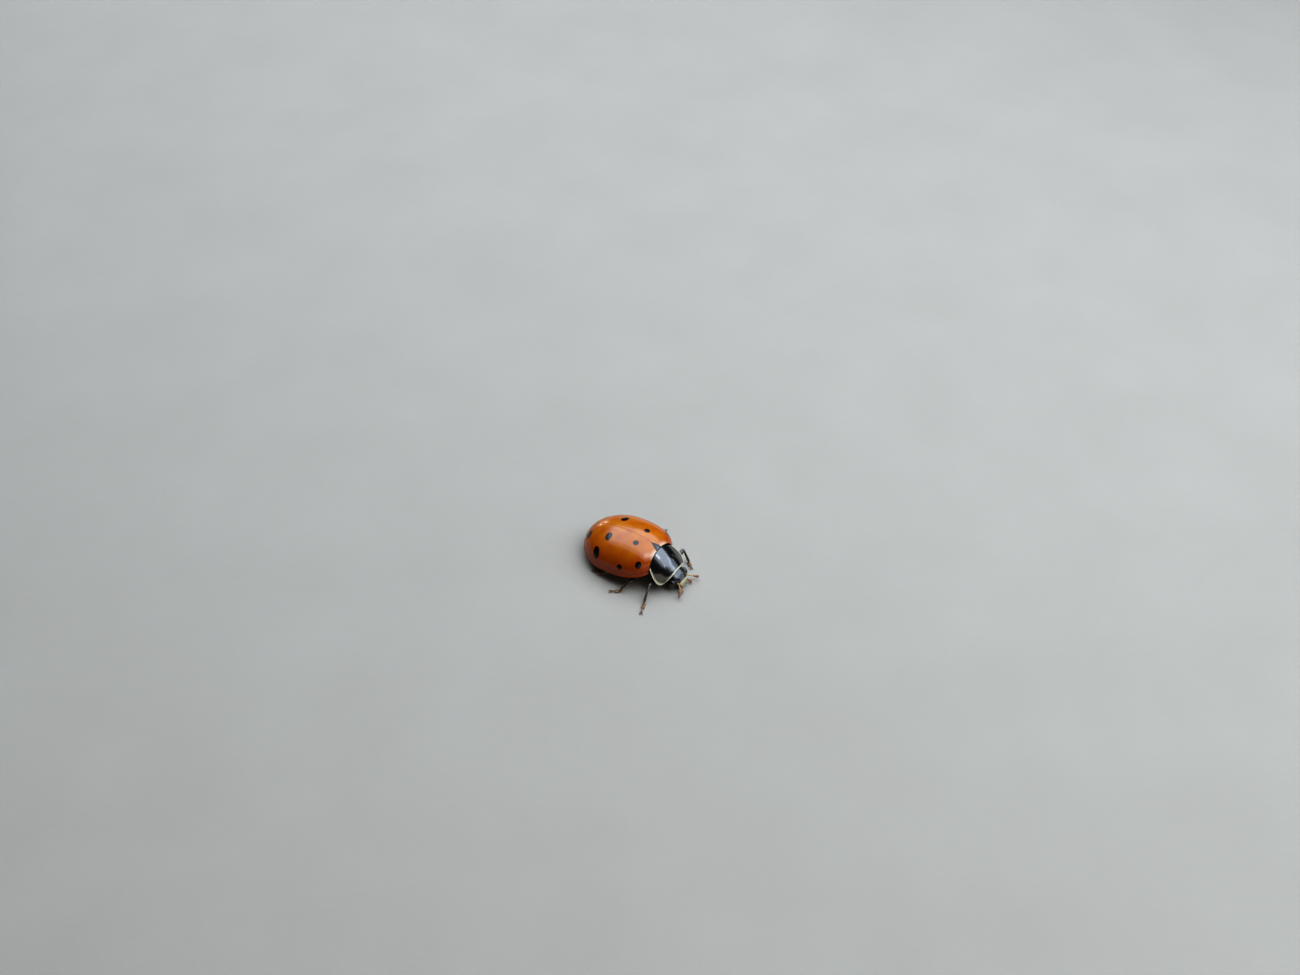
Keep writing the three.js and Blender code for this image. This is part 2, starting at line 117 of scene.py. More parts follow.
def bump(distance, width):
    """A soft hill, 1 at its middle."""
    return np.exp(-((distance / width) ** 2))


def hills(distance, profile):
    """Ridges and grooves at distances from an edge: each is (height, distance, width)."""
    return sum(height * bump(distance - middle, width) for height, middle, width in profile)


def soft_step(value, low, high):
    t = np.clip((value - low) / (high - low), 0, 1)
    return t * t * (3 - 2 * t)


def eased(count):
    """Shares from 0 to 1, closer together at both ends."""
    return (1 - np.cos(np.linspace(0, math.pi, count))) / 2


def curve(places, shares):
    """Points on a smooth line through some places; shares of 0 and 1 are its ends."""
    p = np.array(places, float)
    p = np.vstack([2 * p[0] - p[1], p, 2 * p[-1] - p[-2]])
    spot = np.clip(np.asarray(shares, float), 0, 1) * (len(places) - 1)
    first = np.minimum(spot.astype(int), len(places) - 2)
    w = (spot - first)[..., None]
    a, b, c, d = (p[first + k] for k in range(4))
    gap = [np.sqrt(np.linalg.norm(q - r, axis=-1, keepdims=True)) for q, r in ((b, a), (c, b), (d, c))]
    start = ((b - a) / gap[0] - (c - a) / (gap[0] + gap[1]) + (c - b) / gap[1]) * gap[1]
    end = ((c - b) / gap[1] - (d - b) / (gap[1] + gap[2]) + (d - c) / gap[2]) * gap[1]
    return (b + start * w + (3 * (c - b) - 2 * start - end) * w ** 2
            + (2 * (b - c) + start + end) * w ** 3)


def outline(s, shape, inset=0):
    """Half width or height of a dome at a forward place, or of the dome that lies inside it."""
    size, greatest, front, rear, front_power, rear_power = shape
    off = s - greatest
    ahead = arch(off / (front - inset - greatest), front_power)
    behind = arch(off / (greatest - rear - inset), rear_power)
    return (size - inset) * np.where(off > 0, ahead, behind)


def rim_height(s):
    return 0.62 + 0.126 * s + 0.033 * s * s


def dome_point(s, turn):
    """A place on the wing cases; turn runs from 0 on the back to 90 degrees at the rim."""
    across = outline(s, DOME_WIDTH) * np.sin(turn)
    return mm(across, s, rim_height(s) + outline(s, DOME_RISE) * arch(np.sin(turn), DOME_ARCH))


def hind_line(across):
    return 2.0 + 0.13 * (across / 1.05) ** 2


def grid_normals(grid):
    along, over = np.gradient(grid, axis=0), np.gradient(grid, axis=1)
    return unit(np.cross(along, over))


def outward_normals(grid):
    """Normals that point up at the middle of the grid."""
    normals = grid_normals(grid)
    return normals * np.sign(normals[grid.shape[0] // 2, grid.shape[1] // 3, 2])


def edge_distance(grid, axis):
    """Distance of each point of a grid from the start of its line along one axis."""
    step = np.linalg.norm(np.diff(grid, axis=axis), axis=-1)
    lead = np.zeros_like(np.take(step, [0], axis=axis))
    return np.concatenate([lead, np.cumsum(step, axis=axis)], axis=axis)


def rolled(grid, normals, axis, offsets):
    """The grid carried on past its last line along an axis: each offset is (onward, inward)."""
    last, before = np.take(grid, -1, axis=axis), np.take(grid, -2, axis=axis)
    outward = np.take(normals, -1, axis=axis)
    onward = unit(last - before)
    for level in (outward, unit(np.gradient(last, axis=0))):
        onward = onward - level * np.sum(onward * level, -1, keepdims=True)
    onward = unit(onward)
    lines = [last + onward * on - outward * inward for on, inward in offsets]
    return np.concatenate([grid, np.stack(lines, axis)], axis=axis)


def sheet_faces(rows, columns, wrap=False):
    index = np.arange(rows * columns).reshape(rows, columns)
    if wrap:
        index = np.concatenate([index, index[:, :1]], 1)
    corners = (index[:-1, :-1], index[:-1, 1:], index[1:, 1:], index[1:, :-1])
    return np.stack(corners, -1).reshape(-1, 4).tolist()


def shell(grid, under):
    """A closed plate between a grid of points and the grid under it, as (points, faces)."""
    rows, columns = grid.shape[:2]
    count = rows * columns
    faces = sheet_faces(rows, columns)
    faces += [[count + k for k in reversed(face)] for face in faces]
    index = np.arange(count).reshape(rows, columns)
    border = np.concatenate([index[0, :], index[1:, -1], index[-1, -2::-1], index[-2::-1, 0]])
    faces += [[b, a, a + count, b + count] for a, b in zip(border[:-1].tolist(), border[1:].tolist())]
    return np.concatenate([grid.reshape(-1, 3), under.reshape(-1, 3)]), faces


def circle(count):
    """Angles of the points round a ring."""
    return np.linspace(0, 2 * math.pi, count, endpoint=False)


def loft(rings):
    """A closed body through rings of points, as (points, faces)."""
    rings = np.asarray(rings, float)
    count, around = rings.shape[:2]
    points = np.concatenate([rings.reshape(-1, 3), rings[:1].mean(1), rings[-1:].mean(1)])
    faces = sheet_faces(count, around, wrap=True)
    total = count * around
    for hub, start, turned in ((total, 0, True), (total + 1, total - around, False)):
        for k in range(around):
            a, b = start + k, start + (k + 1) % around
            faces.append([hub, b, a] if turned else [hub, a, b])
    return points, faces


def tube(places, radii, around, samples, side=(0, 0, 1), flatness=1.0):
    """A round or flattened limb along a smooth line. radii are (share, radius) or
    (share, radius, flatness) stops, and side is the direction of its width."""
    stops = np.array([(*stop, flatness)[:3] for stop in radii], float)
    shares = eased(samples)
    centre = curve(places, shares)
    size = curve(stops, np.interp(shares, stops[:, 0], np.linspace(0, 1, len(stops))))
    radius, flat = np.maximum(size[:, 1], 1e-4), size[:, 2]
    along = unit(np.gradient(centre, axis=0))
    first = np.array(side, float)
    wide = unit(first - along * np.sum(along * first, -1, keepdims=True))
    high = np.cross(along, wide)
    angle = circle(around)[None, :, None]
    rings = (centre[:, None] + wide[:, None] * np.cos(angle) * radius[:, None, None]
             + high[:, None] * np.sin(angle) * (radius * flat)[:, None, None])
    return loft(rings)


def tilt_matrix(degrees):
    """Turns rows of points nose down."""
    return np.array(Matrix.Rotation(math.radians(degrees), 3, "X")).T


def egg(centre, radii, rows, around, power, tilt=0, side=1):
    """A closed rounded body, tilted nose down by a number of degrees."""
    polar = np.linspace(0.02, math.pi - 0.02, rows)[:, None]
    angle = circle(around)[None, :]
    raw = np.stack(np.broadcast_arrays(np.sin(polar) * np.cos(angle), np.sin(polar) * np.sin(angle),
                                       np.cos(polar)), -1)
    raw /= (np.abs(raw) ** power).sum(-1, keepdims=True) ** (1 / power)
    return loft(raw * np.array(radii) @ tilt_matrix(tilt) + on_side(centre, side))


def joined(*parts):
    """Several (points, faces) as one."""
    points, faces, count = [], [], 0
    for p, f in parts:
        points.append(p)
        faces += [[k + count for k in face] for face in f]
        count += len(p)
    return np.concatenate(points), faces


def place(name, piece_form, material, slot, nodes=(), sharp=55):
    """Makes a piece and sets it on the body. Its form is (points, faces) in millimetres, and
    marks, which are numbers for each point that its material reads."""
    (points, faces), marks = piece_form
    mesh = bpy.data.meshes.new(name)
    mesh.from_pydata((points * MM).tolist(), [], faces)
    for mark, values in marks.items():
        layer = mesh.attributes.new(mark, "FLOAT", "POINT")
        layer.data.foreach_set("value", np.asarray(values, np.float32).ravel())
    work = bmesh.new()
    work.from_mesh(mesh)
    bmesh.ops.remove_doubles(work, verts=work.verts, dist=2e-7)
    bmesh.ops.dissolve_degenerate(work, edges=work.edges, dist=1e-8)
    bmesh.ops.recalc_face_normals(work, faces=work.faces)
    work.to_mesh(mesh)
    work.free()
    mesh.polygons.foreach_set("use_smooth", [True] * len(mesh.polygons))
    mesh.set_sharp_from_angle(angle=math.radians(sharp))
    mesh.materials.append(material)
    piece = bpy.data.objects.new(name, mesh)
    piece.location = ANCHOR
    bpy.context.scene.collection.objects.link(piece)
    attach(piece, "root")
    if nodes:
        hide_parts(*nodes)
    return piece


# ---- Finishes ----


def linear(colour):
    """An sRGB hex colour as Blender's linear one."""
    parts = [int(colour[k:k + 2], 16) / 255 for k in (1, 3, 5)]
    return [p / 12.92 if p <= 0.04045 else ((p + 0.055) / 1.055) ** 2.4 for p in parts] + [1]


PIT_FLOOR = 0.4  # how much of a pit is its flat floor


class Finish:
    """A material under way, with the place on the piece in millimetres. Where a value over the
    surface is asked for, it is a node's output, the name of a mark on the piece, or the size in
    millimetres and the detail of soft clouds."""

    def __init__(self, name):
        self.material = bpy.data.materials.new(name)
        self.material.use_nodes = True
        self.tree = self.material.node_tree
        self.tree.nodes.clear()
        on_piece = self.add("TexCoord", out="Object")
        self.where = self.add("VectorMath", {"Vector": on_piece, "Scale": 1 / MM}, operation="SCALE")

    def add(self, kind, inputs=(), out=0, **settings):
        """Adds a node with its settings and links and gives one of its outputs. The inputs are
        a list in the node's order, or a dictionary."""
        made = self.tree.nodes.new("ShaderNode" + kind)
        for key, value in settings.items():
            setattr(made, key, value)
        for key, value in inputs.items() if isinstance(inputs, dict) else enumerate(inputs):
            if isinstance(value, bpy.types.NodeSocket):
                self.tree.links.new(value, made.inputs[key])
            else:
                made.inputs[key].default_value = linear(value) if isinstance(value, str) else value
        return made.outputs[out] if made.outputs else made

    def over_surface(self, value):
        if isinstance(value, str):
            return self.add("Attribute", out="Fac", attribute_type="GEOMETRY", attribute_name=value)
        if isinstance(value, tuple):
            size_mm, detail = value
            return self.add("TexNoise", {"Vector": self.where, "Scale": 1 / size_mm, "Detail": detail})
        return value

    def step(self, value, start, end, share=(0, 1)):
        """A soft step, as a value over the surface goes from start to end."""
        return self.add("MapRange", [self.over_surface(value), start, end, *share],
                        interpolation_type="SMOOTHSTEP")

    def blend(self, value, first, second, reach=None, share=(0, 1)):
        """One colour turning into another, as a value over the surface goes through its reach."""
        factor = self.step(value, *reach, share) if reach else self.over_surface(value)
        return self.add("Mix", {0: factor, 6: first, 7: second}, out=2, data_type="RGBA")

    def ragged(self, value, clouds, amount):
        """A value made uneven by clouds."""
        uneven = self.add("Math", [self.over_surface(clouds), 0.5], operation="SUBTRACT")
        return self.add("Math", [uneven, amount, self.over_surface(value)], operation="MULTIPLY_ADD")

    def relief(self, *layers):
        """Bump of real depths, coarse to fine. A layer is (clouds, depth in millimetres), or
        (pattern, spacing in millimetres, width of its lines or pits as a share, depth)."""
        normal = {}
        for layer in layers:
            height = self.over_surface(layer[0])
            if len(layer) > 2:
                pattern, spacing_mm, width, _ = layer
                feature = {"pits": "F1", "wrinkles": "DISTANCE_TO_EDGE"}[pattern]
                cells = self.add("TexVoronoi", {"Vector": self.where, "Scale": 1 / spacing_mm},
                                 out="Distance", feature=feature)
                height = self.step(cells, width * PIT_FLOOR if pattern == "pits" else 0, width)
            depth = {"Height": height, "Distance": layer[-1] * MM, "Strength": 1}
            normal = {"Normal": self.add("Bump", depth | normal)}
        return normal

    def done(self, inputs, **numbers):
        """Closes the material with its surface shader."""
        numbers = {key.replace("_", " "): value for key, value in numbers.items()}
        self.add("OutputMaterial", [self.add("BsdfPrincipled", inputs | numbers)])
        return self.material


# Spots of one wing case, mirrored on the other: forward place, turn from the back towards the
# rim in degrees, half length down the side, half width, and how far the lower end swings forward.
SPOTS = {
    "back_of_middle": (-0.62, 23.5, 0.25, 0.18, 12),
    "front_inner": (0.9, 16, 0.15, 0.15, 0),
    "shoulder": (1.63, 55, 0.19, 0.16, 8),
    "side": (0.77, 70, 0.15, 0.14, 0),
    "rear_side": (-0.8, 61, 0.33, 0.2, 28),
    "tail": (-1.82, 40, 0.27, 0.16, 12),
}
SPOT_DEPTH = 0.3  # a spot's reach into the shell, more than it bends away
# The spot that both cases share narrows from the scutellum to a point on the seam.
SHARED_SPOT = dict(front=2.06, starts=0.1, ends=0.66, half_width=0.2, point=0.0005)
# The pale base of the cases beside the scutellum: its middle and its reach.
PALE_BASE = dict(middle=(0.38, -2.06, 1.75), reach=(0.36, 0.24, 0.5))


def spot_distance(skin, mirrored, spot):
    """Distance from a spot's middle as a share of its own radius."""
    s, turn, length, width, swing = spot
    turn, swing = math.radians(turn), math.radians(swing)
    centre = dome_point(s, turn)
    down = unit(dome_point(s, turn + 0.01) - centre)
    ahead = unit(dome_point(s + 0.01, turn) - centre)
    ahead = unit(ahead - down * (ahead @ down))
    long_way = down * math.cos(swing) + ahead * math.sin(swing)
    short_way = ahead * math.cos(swing) - down * math.sin(swing)
    axes = Matrix((long_way, short_way, np.cross(long_way, short_way))).transposed()
    local = skin.add("Mapping", {"Vector": mirrored, "Location": centre.tolist(), "Rotation": axes.to_euler(),
                                 "Scale": (length, width, SPOT_DEPTH)}, vector_type="TEXTURE")
    return skin.add("VectorMath", [local], out="Value", operation="LENGTH")


def orange_wing_case():
    """Chitin, hardened in the air over an orange pigment layer. The clear outer skin gives a
    sharp sky reflection over a softer body colour, with the fine pits that a lens just shows."""
    skin = Finish("orange_wing_case_chitin")
    across, back, up = skin.add("SeparateXYZ", [skin.where]).node.outputs
    aside = skin.add("Math", [across], operation="ABSOLUTE")
    mirrored = skin.add("CombineXYZ", [aside, back, up])
    body = skin.blend((0.9, 2), "#ab650b", "#9c5208", (0.35, 0.7))
    # Painted shade: the colour goes darker and redder towards the rim, over the flank that turns away from
    # the light.
    body = skin.blend("rim_mm", body, "#8e3604", (0.1, 2.3), (0.85, 0))
    body = skin.blend((0.05, 4), body, "#8e4106", (0.45, 0.8), (0, 0.3))
    pale = skin.add("Mapping", {"Vector": mirrored, "Location": PALE_BASE["middle"],
                                "Scale": PALE_BASE["reach"]}, vector_type="TEXTURE")
    pale = skin.add("VectorMath", [pale], out="Value", operation="LENGTH")
    body = skin.blend(pale, body, "#cdb394", (0.2, 1.35), (0.85, 0))
    # The seam between the cases shows as a thin red-brown line.
    body = skin.blend(aside, body, "#7a2a0a", (0.004, 0.04), (0.5, 0))
    shared = SHARED_SPOT
    behind = skin.add("Math", [back, shared["front"]], operation="ADD")
    taper = skin.step(behind, shared["starts"], shared["ends"], (shared["half_width"], shared["point"]))
    nearest = skin.add("Math", [aside, taper], operation="DIVIDE")
    for spot in SPOTS.values():
        nearest = skin.add("Math", [nearest, spot_distance(skin, mirrored, spot)], operation="MINIMUM")
    edge = skin.ragged(nearest, (0.2, 3), 0.3)
    colour = skin.blend(edge, body, "#190c07", (0.9, 1.1), (1, 0))
    bumps = skin.relief(((0.5, 1), 0.006), ("pits", 0.075, 0.32, 0.0004))
    rough = skin.step((0.3, 3), 0.3, 0.75, (0.15, 0.22))
    return skin.done({"Base Color": colour, "Roughness": rough, **bumps},
                     IOR=1.43, Coat_Weight=0.1, Coat_Roughness=0.12, Coat_IOR=1.5)


def shield_chitin():
    """Polished black chitin with an ivory border and two ivory dashes. The black is so smooth
    that it takes the light as a clear blue-grey band; the ivory has no pigment and looks waxy."""
    skin = Finish("polished_black_and_ivory_chitin")
    ivory = skin.blend((0.2, 3), "#9b957b", "#aca68c")
    black = skin.blend((0.08, 4), "#0b0a0c", "#15120f")
    border, dash = (skin.ragged(mark, (0.15, 2), 0.4) for mark in ("border", "dash"))
    light = skin.add("Math", [skin.step(border, 0.88, 1.08, (1, 0)), skin.step(dash, 0.5, 1.25, (0.22, 0))],
                     operation="MAXIMUM")
    bumps = skin.relief(((0.5, 1), 0.003), ("pits", 0.06, 0.3, 0.0005))
    return skin.done({"Base Color": skin.blend(light, black, ivory),
                      "Roughness": skin.step(light, 0, 1, (0.2, 0.38)), **bumps},
                     IOR=1.56, Coat_Weight=0.9, Coat_Roughness=0.05, Coat_IOR=1.55)


def head_chitin():
    """Black chitin like the shield's, less polished: close pits break its gloss up. The front
    edge of the head is cream."""
    skin = Finish("pitted_black_chitin")
    black = skin.blend((0.07, 4), "#0c0b0d", "#1b1713")
    colour = skin.blend(skin.ragged("front", (0.1, 2), 0.25), black, "#bdb48e", (0.8, 1.0))
    bumps = skin.relief(((0.2, 2), 0.003), ("pits", 0.05, 0.38, 0.001))
    return skin.done({"Base Color": colour, **bumps},
                     Roughness=0.28, IOR=1.56, Coat_Weight=0.6, Coat_Roughness=0.12)


def eye_cornea():
    """Compound eye: clear lenses over black pigment, so it is black with a satin sheen."""
    skin = Finish("compound_eye_cornea")
    return skin.done({"Base Color": skin.blend((0.15, 3), "#08080b", "#16131a"),
                      **skin.relief(((0.06, 2), 0.001))},
                     Roughness=0.16, IOR=1.45, Coat_Weight=0.7, Coat_Roughness=0.05)


def amber_chitin():
    """Thin horn-like chitin, amber and a little see-through, browner where it is thick or worn."""
    skin = Finish("amber_chitin")
    shade = skin.ragged("brown", (0.08, 3), 0.5)
    pale = skin.blend(shade, "#a58a5c", "#7f4e20", (0.0, 0.55))
    return skin.done({"Base Color": skin.blend(shade, pale, "#3c2411", (0.55, 1.0)),
                      **skin.relief(((0.03, 3), 0.002))},
                     Roughness=0.34, IOR=1.54, Coat_Weight=0.25, Coat_Roughness=0.1,
                     Subsurface_Weight=0.25, Subsurface_Scale=0.05 * MM, Subsurface_Radius=(1, 0.45, 0.15))


def ivory_chitin():
    """Chitin without pigment at the mouth's edge: waxy, cream with brown clouds."""
    skin = Finish("ivory_mouth_edge_chitin")
    return skin.done({"Base Color": skin.blend((0.1, 3), "#8d8569", "#716242"),
                      **skin.relief(((0.04, 3), 0.002))},
                     Roughness=0.4, IOR=1.54, Coat_Weight=0.2, Coat_Roughness=0.15)


def leg_chitin():
    """Black leg chitin with a net of fine wrinkles; it goes brown towards the joints."""
    skin = Finish("black_leg_chitin")
    shade = skin.ragged("brown", (0.1, 3), 0.6)
    dark = skin.blend(shade, "#141112", "#3a2a1a", (0.1, 0.6))
    return skin.done({"Base Color": skin.blend(shade, dark, "#8a6432", (0.6, 1.0)),
                      **skin.relief(("wrinkles", 0.05, 0.15, 0.002))},
                     Roughness=0.3, IOR=1.56, Coat_Weight=0.35, Coat_Roughness=0.1)


def belly_chitin():
    """Underside plates: duller black-brown chitin, closely pitted, with tan edges."""
    skin = Finish("pitted_underside_chitin")
    shade = skin.ragged("brown", (0.2, 3), 0.5)
    dark = skin.blend(shade, "#17120f", "#3b2716", (0.2, 0.7))
    return skin.done({"Base Color": skin.blend(shade, dark, "#9a5a20", (0.7, 1.05)),
                      **skin.relief(((0.25, 3), 0.006), ("pits", 0.06, 0.42, 0.003))},
                     Roughness=0.42, IOR=1.55, Coat_Weight=0.15, Coat_Roughness=0.2)


def bristle_horn():
    """Fine pale bristles, straw-coloured where light passes through them."""
    skin = Finish("straw_bristle")
    return skin.done({"Base Color": skin.blend((0.3, 2), "#8f7d5c", "#c9b88e")}, Roughness=0.45, IOR=1.54)


def studio_paper():
    """Matt paper roll: a warm pale grey with no gloss."""
    skin = Finish("matt_studio_paper")
    return skin.done({"Base Color": skin.blend((6, 4), "#969086", "#9d978d"),
                      **skin.relief(((0.4, 3), 0.01))},
                     Roughness=0.9, IOR=1.45, Specular_IOR_Level=0.15)


ORANGE = orange_wing_case()
SHIELD = shield_chitin()
BLACK = head_chitin()
CORNEA = eye_cornea()
AMBER = amber_chitin()
IVORY = ivory_chitin()
LEG = leg_chitin()
UNDERSIDE = belly_chitin()
BRISTLE = bristle_horn()

# ---- Wing cases ----

CASE_ROWS, CASE_COLUMNS = 190, 92
TAIL_START = 0.00002  # the first line of points closes the tail almost to a point
CASE_FRONT_EDGE = [(0.01, 0.003), (0.018, 0.012), (0.02, 0.03), (0.016, 0.07), (0.0, 0.16)]
CASE_SEAM_EDGE = [(0.0006, 0.0006), (0.0009, 0.002), (0.0009, 0.02), (0.0, 0.09)]
SEAM_LINES = len(CASE_SEAM_EDGE)
# The rolled rim, and below it the flat underside that lies against the body.
CASE_RIM = [(0.012, -0.009), (0.026, -0.01), (0.04, 0.0), (0.048, 0.016), (0.052, 0.05), (0.06, 0.12),
            (0.075, 0.22), (0.07, 0.34), (0.03, 0.43), (-0.05, 0.46)]
CASE_RIM_RELIEF = [(0.022, 0, 0.045), (-0.02, 0.13, 0.06)]
CASE_SEAM_RELIEF = [(0.002, 0.05, 0.03), (-0.002, 0, 0.02)]
SHOULDER = dict(forward=1.62, across=1.12)
SHOULDER_HUMP = [(0.035, 0, 0.33)]
RELIEF_FADE = 0.6  # half width below which the relief fades out at the tail
FAR_FROM_RIM = 2  # marks the folded seam edge, which is left out of the rim's painted shade


def wing_case(side):
    turn = math.pi / 2 * np.linspace(0, 1, CASE_COLUMNS)[None, :] ** 1.6
    front = np.full((1, CASE_COLUMNS), 2.0)
    for _ in range(60):
        front += 0.4 * (hind_line(outline(front, DOME_WIDTH) * np.sin(turn)) - CASE_GAP - front)
    s = CASE_REAR + TAIL_START + (front - CASE_REAR - TAIL_START) * eased(CASE_ROWS)[:, None]
    half_width = outline(s, DOME_WIDTH)
    across = SUTURE_GAP / 2 + (half_width - SUTURE_GAP / 2) * np.sin(turn)
    rise = outline(s, DOME_RISE) * arch(np.sin(turn), DOME_ARCH)
    grid = mm(side * across, s, rim_height(s) + rise)
    normals = outward_normals(grid)
    to_rim = edge_distance(grid[:, ::-1], 1)[:, ::-1]
    lift = hills(to_rim, CASE_RIM_RELIEF) + hills(across, CASE_SEAM_RELIEF)
    lift *= np.clip(half_width / RELIEF_FADE, 0, 1)
    lift += hills(np.hypot(s - SHOULDER["forward"], across - SHOULDER["across"]), SHOULDER_HUMP)
    grid = grid + normals * lift[..., None]
    grid = rolled(grid, normals, 1, CASE_RIM)
    normals = np.pad(normals, ((0, 0), (0, len(CASE_RIM)), (0, 0)), "edge")
    grid = rolled(grid[:, ::-1], normals[:, ::-1], 1, CASE_SEAM_EDGE)[:, ::-1]
    normals = outward_normals(grid)
    # Beside the folded seam the corners take the direction of the open shell next to them.
    normals[:, :SEAM_LINES + 1] = normals[:, SEAM_LINES + 1, None]
    grid = rolled(grid, normals, 0, CASE_FRONT_EDGE)
    normals = outward_normals(grid)
    normals[CASE_ROWS:, :SEAM_LINES + 3] = normals[CASE_ROWS:, SEAM_LINES + 3, None]
    distance = np.zeros(grid.shape[:2])
    columns = slice(SEAM_LINES, SEAM_LINES + CASE_COLUMNS)
    distance[:CASE_ROWS, columns] = to_rim
    distance[CASE_ROWS:, columns] = to_rim[-1]
    distance[:, :SEAM_LINES] = FAR_FROM_RIM
    return shell(grid, grid - normals * CASE_SKIN), {"rim_mm": np.tile(distance.ravel(), 2)}


for name, side in SIDES.items():
    place(f"wing_case_{name}", wing_case(side), ORANGE, "wing_case", [f"elytron_{name}"], sharp=70)


SCUTELLUM = dict(tip=1.8, base=1.968, half_width=0.13, taper=0.85, crown=0.016, sunk=0.008, thickness=0.12)


def scutellum_plate():
    """The small triangle where the wing cases meet the shield."""
    rows, columns = 26, 25
    share = np.linspace(0, 1, rows)[:, None]
    s = SCUTELLUM["tip"] + (SCUTELLUM["base"] - SCUTELLUM["tip"]) * share
    width = SCUTELLUM["half_width"] * share ** SCUTELLUM["taper"]
    across = width * np.linspace(-1, 1, columns)[None, :]
    top = rim_height(s) + outline(s, DOME_RISE) * arch(across / outline(s, DOME_WIDTH), DOME_ARCH)
    crown = SCUTELLUM["crown"] * arch(across / np.maximum(width, 1e-6), 2) * np.sqrt(share)
    grid = mm(across, s, top + crown - SCUTELLUM["sunk"])
    grid = rolled(grid, outward_normals(grid), 0, CASE_FRONT_EDGE[:-1])
    plate = shell(grid, grid - UP * SCUTELLUM["thickness"])
    return plate, {"front": np.zeros(len(plate[0]))}


place("scutellum_plate", scutellum_plate(), BLACK, "black_shell", ["scutellum"])

# ---- Neck shield ----

SHIELD_ROWS, SHIELD_COLUMNS = 96, 170
SHIELD_BORDER_SIDE, SHIELD_BORDER_FRONT = 0.15, 0.085
# Each pale dash: its rear and front ends as (across, forward), mirrored, and its half width.
DASH_REAR, DASH_FRONT, DASH_HALF_WIDTH = np.array([0.39, 2.58]), np.array([0.49, 2.75]), 0.024
SHIELD_SIDE_RELIEF = [(0.014, 0, 0.035), (-0.016, 0.09, 0.045)]
SHIELD_FRONT_RELIEF = [(0.008, 0, 0.025), (-0.006, 0.05, 0.03)]
SHIELD_REAR_RELIEF = [(-0.01, 0, 0.03)]
SHIELD_EDGE_THICKNESS, SHIELD_THICKNESS, SHIELD_THINNING = 0.012, 0.062, 0.06


def shield_grid():
    u = np.linspace(0, 1, SHIELD_ROWS)[:, None]
    turn = np.linspace(-math.pi / 2, math.pi / 2, SHIELD_COLUMNS)[None, :]
    edge, crest = curve(SHIELD_EDGE, u), curve(SHIELD_CREST, u)
    side = np.sin(turn)
    lift = np.maximum(0, 1 - np.abs(side) ** 2.1)
    forward = crest[..., 1] + (edge[..., 1] - crest[..., 1]) * np.abs(side) ** 3.2
    up = edge[..., 2] + (crest[..., 2] - edge[..., 2]) * lift
    return mm(side * edge[..., 0], forward, up)


def neck_shield():
    grid = shield_grid()
    normals = outward_normals(grid)
    from_side = np.minimum(edge_distance(grid, 1), edge_distance(grid[:, ::-1], 1)[:, ::-1])
    from_front = edge_distance(grid[::-1], 0)[::-1]
    from_rear = edge_distance(grid, 0)
    lift = hills(from_side, SHIELD_SIDE_RELIEF) + hills(from_front, SHIELD_FRONT_RELIEF)
    lift += hills(from_rear, SHIELD_REAR_RELIEF)
    grid = grid + normals * lift[..., None]
    border = np.minimum(from_side / SHIELD_BORDER_SIDE, from_front / SHIELD_BORDER_FRONT)
    from_dash = np.stack([np.abs(grid[..., 0]), -grid[..., 1]], -1) - DASH_REAR
    run = DASH_FRONT - DASH_REAR
    along = np.clip(from_dash @ run / (run @ run), 0, 1)[..., None]
    dash = np.linalg.norm(from_dash - along * run, axis=-1) / DASH_HALF_WIDTH
    normals = outward_normals(grid)
    nearest = np.minimum(np.minimum(from_side, from_front), from_rear)
    thinned = (SHIELD_THICKNESS - SHIELD_EDGE_THICKNESS) * np.exp(-nearest / SHIELD_THINNING)
    thickness = SHIELD_THICKNESS - thinned
    plate = shell(grid, grid - normals * thickness[..., None])
    return plate, {"border": np.tile(border.ravel(), 2), "dash": np.tile(dash.ravel(), 2)}


place("neck_shield", neck_shield(), SHIELD, "neck_shield", ["pronotum"], sharp=70)

# ---- Underside ----

BODY_AROUND = 96
ABDOMEN_SEAMS = [-1.5, -1.24, -0.98, -0.7, -0.36]  # forward places where belly plates overlap
TAIL_END, WAIST, NECK_END = -1.745, 0.12, 2.11
BODY_INSET = 0.53  # the body's place inside the wing cases
NECK_HALF_WIDTH = 0.92
PLATE_STEP = dict(groove=0.02, groove_width=0.018, overlap=0.014, length=0.2)
WING_BASE = dict(rear=1.3, front=2.13, width=0.78, below_case=0.34)


def trunk_rings(rear, front, count):
    """Rings of the body under the wing cases, from tail to neck, and how brown they are."""
    rings, brown = [], []
    for t in eased(count):
        s = rear + (front - rear) * t
        own_half = outline(s, DOME_WIDTH, BODY_INSET)
        half = max(own_half, NECK_HALF_WIDTH if s > 1 else 0)
        base = rim_height(s) - 0.08
        belly = BELLY["low"] + s * s * (BELLY["tail_rise"] if s < 0 else BELLY["neck_rise"])
        angle = circle(BODY_AROUND)
        x = np.cos(angle)
        rise = outline(s, DOME_RISE, BODY_INSET) + 0.05 if own_half > 0.9 * half else 0
        step = 0.0
        for seam in ABDOMEN_SEAMS + [WAIST]:
            step -= PLATE_STEP["groove"] * bump(s - seam, PLATE_STEP["groove_width"])
            if 0 < s - seam < PLATE_STEP["length"]:
                step += PLATE_STEP["overlap"] * (1 - (s - seam) / PLATE_STEP["length"])
        depth = (base - belly + step) * arch(x, 2.4)
        middle = 0.025 * bump(x, 0.05) if s > WAIST else 0.0
        z = np.where(np.sin(angle) > 0, base + rise * arch(x, DOME_ARCH), base - depth + middle)
        rings.append(mm(half * x, s, z))
        edge = np.abs(x) ** 6 * 0.9 + (0.25 if step < -0.008 else 0)
        brown.append(edge + (0.15 if s < WAIST else 0))
    return np.array(rings), np.array(brown)


